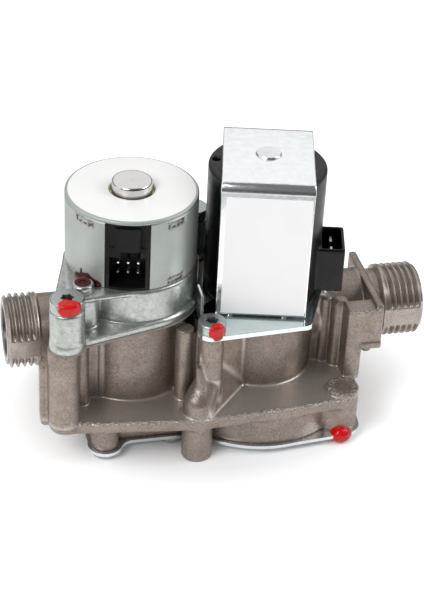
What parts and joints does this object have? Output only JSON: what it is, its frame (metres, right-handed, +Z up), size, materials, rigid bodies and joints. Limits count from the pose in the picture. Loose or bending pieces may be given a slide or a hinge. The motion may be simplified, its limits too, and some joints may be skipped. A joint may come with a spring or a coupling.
{
  "type": "gas control valve",
  "caption": "Die-cast gas control valve with threaded pipe ends, an on/off solenoid under a yoke and a modulating regulator in a round steel can.",
  "frame": {"origin": "floor level under the middle of the overall box, in the plane of the two tower axes", "axes": "+X along the pipe axis towards the inlet, +Z up along the tower axes, -Y towards the front with the label and the plug socket"},
  "size_m": [0.12, 0.057, 0.0814],
  "materials": {
    "cast_aluminium": "raw die-cast, fine grain",
    "cast_zinc": "shot-blasted zinc casting",
    "zinc_steel": "bright zinc plated sheet",
    "can_steel": "pale zinc plated, matt",
    "screw_steel": "zinc plated",
    "core_steel": "nickel plated, turned",
    "black_plastic": "glass-filled moulding",
    "copper_wire": "enamelled winding",
    "rubber": "nitrile",
    "brass": "turned",
    "label": "white film"
  },
  "bodies": {
    "valve": {"main_body": "cast_aluminium", "bottom_cover": "zinc_steel", "cover_screws": "screw_steel", "main_diaphragm": "rubber", "main_valve_spring": "screw_steel", "seat_insert": "brass", "plunger_spring": "screw_steel", "tube_o_ring": "rubber", "armature_tube": "core_steel", "fixed_pole": "core_steel", "coil_flange_plate": "zinc_steel", "coil_flange_screws": "screw_steel", "coil_bobbin": "black_plastic", "coil_winding": "copper_wire", "coil_moulding": "black_plastic", "coil_terminals": "screw_steel", "yoke_bracket": "zinc_steel", "yoke_label": "label", "regulator_gasket": "rubber", "regulator_diaphragm": "rubber", "regulator_spring": "screw_steel", "servo_nozzle": "brass", "regulator_housing": "cast_zinc", "housing_screws": "screw_steel", "can_base": "zinc_steel", "steel_can": "can_steel", "can_lid": "can_steel", "lid_label": "label", "can_screw": "screw_steel", "modulator_bobbin": "black_plastic", "modulator_winding": "copper_wire", "modulator_pins": "brass", "core_guide": "brass", "inlet_strainer": "screw_steel", "test_point_screws": "brass"},
    "plunger_group": {"plunger": "core_steel", "valve_disc": "brass", "valve_seal": "rubber"},
    "main_valve_group": {"diaphragm_plate": "zinc_steel", "main_valve_disc": "brass", "main_valve_seal": "rubber"},
    "core_group": {"regulator_core": "core_steel", "regulator_plate": "brass"}
  },
  "joints": [
    {"name": "plunger_lift", "type": "slide", "parent": "valve", "child": "plunger_group", "axis": [0, 0, 1], "range_m": [0, 0.0025], "stiffness_N_per_m": 300, "springref_m": -0.003, "deforming": ["plunger_spring"]},
    {"name": "main_valve_lift", "type": "slide", "parent": "valve", "child": "main_valve_group", "axis": [0, 0, 1], "range_m": [0, 0.0025], "stiffness_N_per_m": 200, "springref_m": -0.003, "deforming": ["main_valve_spring", "main_diaphragm"]},
    {"name": "regulator_core_slide", "type": "slide", "parent": "valve", "child": "core_group", "axis": [0, 0, 1], "range_m": [-0.001, 0], "stiffness_N_per_m": 1500, "deforming": ["regulator_spring", "regulator_diaphragm"]}
  ]
}
